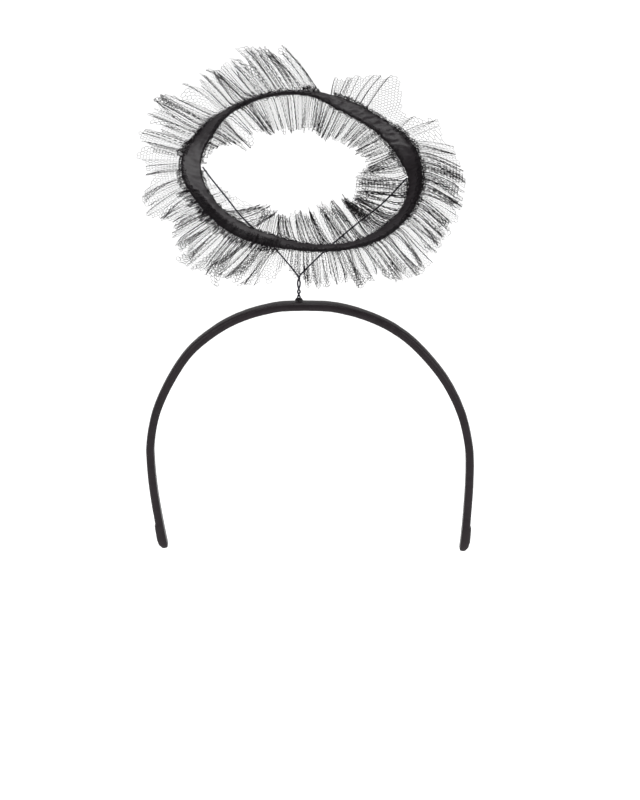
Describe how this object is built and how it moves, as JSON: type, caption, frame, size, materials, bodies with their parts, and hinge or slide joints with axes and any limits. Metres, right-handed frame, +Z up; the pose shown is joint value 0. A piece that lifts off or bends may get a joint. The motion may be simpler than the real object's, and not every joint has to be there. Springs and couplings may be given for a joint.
{
  "type": "halo headband",
  "caption": "Satin-covered headband with a twisted wire stem that holds a tilted satin ring with a gathered black tulle ruffle inside and outside it.",
  "frame": {"origin": "underside of the band at the top of its arch, where it rests on the crown of a head", "axes": "+Z up, +X across the head to the right as seen from the front, +Y from the front to the back, so the front faces -Y"},
  "size_m": [0.165, 0.1354, 0.2426],
  "materials": {
    "band_satin": "brownish black satin ribbon with a soft sheen over a stiff core",
    "halo_satin": "black satin ribbon with a soft sheen and diagonal wrinkles",
    "tulle": "fine black net, matt",
    "wire": "black lacquered wire, slightly bluish, semi-gloss"
  },
  "bodies": {
    "root": {"headband": "band_satin", "stem_root": "band_satin", "halo_band": "halo_satin", "outer_ruffle": "tulle", "inner_ruffle_back": "tulle", "inner_ruffle_front": "tulle", "left_wire": "wire", "right_wire": "wire"}
  },
  "joints": []
}
